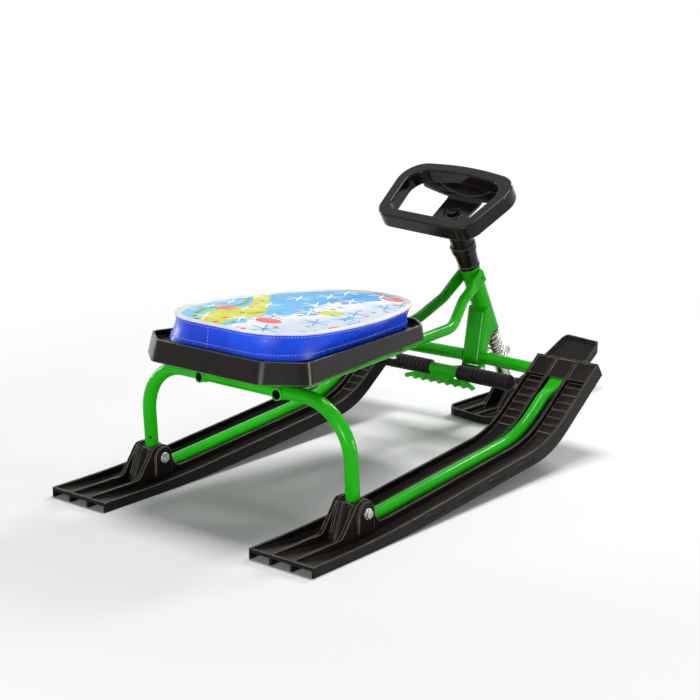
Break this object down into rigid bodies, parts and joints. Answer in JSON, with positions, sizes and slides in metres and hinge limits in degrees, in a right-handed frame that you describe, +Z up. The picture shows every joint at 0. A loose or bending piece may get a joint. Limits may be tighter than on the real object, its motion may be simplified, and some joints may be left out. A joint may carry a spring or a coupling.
{
  "type": "steering sled",
  "caption": "Steerable snow sled on wide plastic skis: tube frame, padded seat on a tray, raked column with sprung front ski, trapezoid wheel and hinged foot brake bar.",
  "frame": {"origin": "middle of the footprint at ground level", "axes": "+Y forward along the sled, +X to the rider's right, +Z up"},
  "size_m": [0.492, 1.0131, 0.4273],
  "materials": {
    "green_enamel": "gloss enamel",
    "black_plastic": "semi-gloss moulded",
    "zinc_steel": "zinc plated",
    "chrome_wire": "bright",
    "grip_rubber": "matt",
    "seat_vinyl": "soft vinyl over foam"
  },
  "bodies": {
    "chassis": {"left_ski": "black_plastic", "right_ski": "black_plastic", "left_runner_tube": "green_enamel", "right_runner_tube": "green_enamel", "left_cross_tube": "green_enamel", "right_cross_tube": "green_enamel", "left_leg": "green_enamel", "right_leg": "green_enamel", "left_rail": "green_enamel", "right_rail": "green_enamel", "seat_crossbar": "green_enamel", "head_tube": "green_enamel", "down_post": "green_enamel", "ski_bolts": "zinc_steel", "ski_nuts": "zinc_steel", "seat_tray": "black_plastic", "tray_screws": "zinc_steel", "seat_cushion": "seat_vinyl", "upper_bush": "black_plastic", "lower_bush": "black_plastic", "hinge_pin": "zinc_steel"},
    "steering": {"steering_shaft": "zinc_steel", "column_sleeve": "black_plastic", "steering_wheel": "black_plastic", "wheel_bolt": "zinc_steel"},
    "stem": {"lower_stem": "zinc_steel", "spring_seat": "zinc_steel", "spring": "chrome_wire", "stem_tab": "zinc_steel", "front_ski_bolt": "zinc_steel", "front_ski_nut": "zinc_steel"},
    "front_runner": {"front_ski": "black_plastic"},
    "foot_brake": {"brake_arm": "green_enamel", "footrest_bar": "green_enamel", "left_grip": "grip_rubber", "right_grip": "grip_rubber", "brake_plate": "green_enamel"}
  },
  "joints": [
    {"name": "steering_turn", "type": "hinge", "parent": "chassis", "child": "steering", "pos_m": [0, 0.3092, 0], "axis": [0, -0.4664, 0.8846], "range_deg": [-30.5, 39.5]},
    {"name": "front_suspension", "type": "slide", "parent": "steering", "child": "stem", "axis": [0, -0.4664, 0.8846], "range_m": [0, 0.02], "stiffness_N_per_m": 6000, "springref_m": -0.012, "deforming": ["spring"]},
    {"name": "front_ski_pitch", "type": "hinge", "parent": "stem", "child": "front_runner", "pos_m": [0, 0.28821, 0.03981], "axis": [0.9969, -0.0694, -0.0366], "range_deg": [-18, 18]},
    {"name": "foot_brake_press", "type": "hinge", "parent": "chassis", "child": "foot_brake", "pos_m": [0, 0.1805, 0.091], "axis": [1, 0, 0], "range_deg": [0, 45], "stiffness_Nm_per_rad": 4, "springref_deg": -17.19}
  ]
}
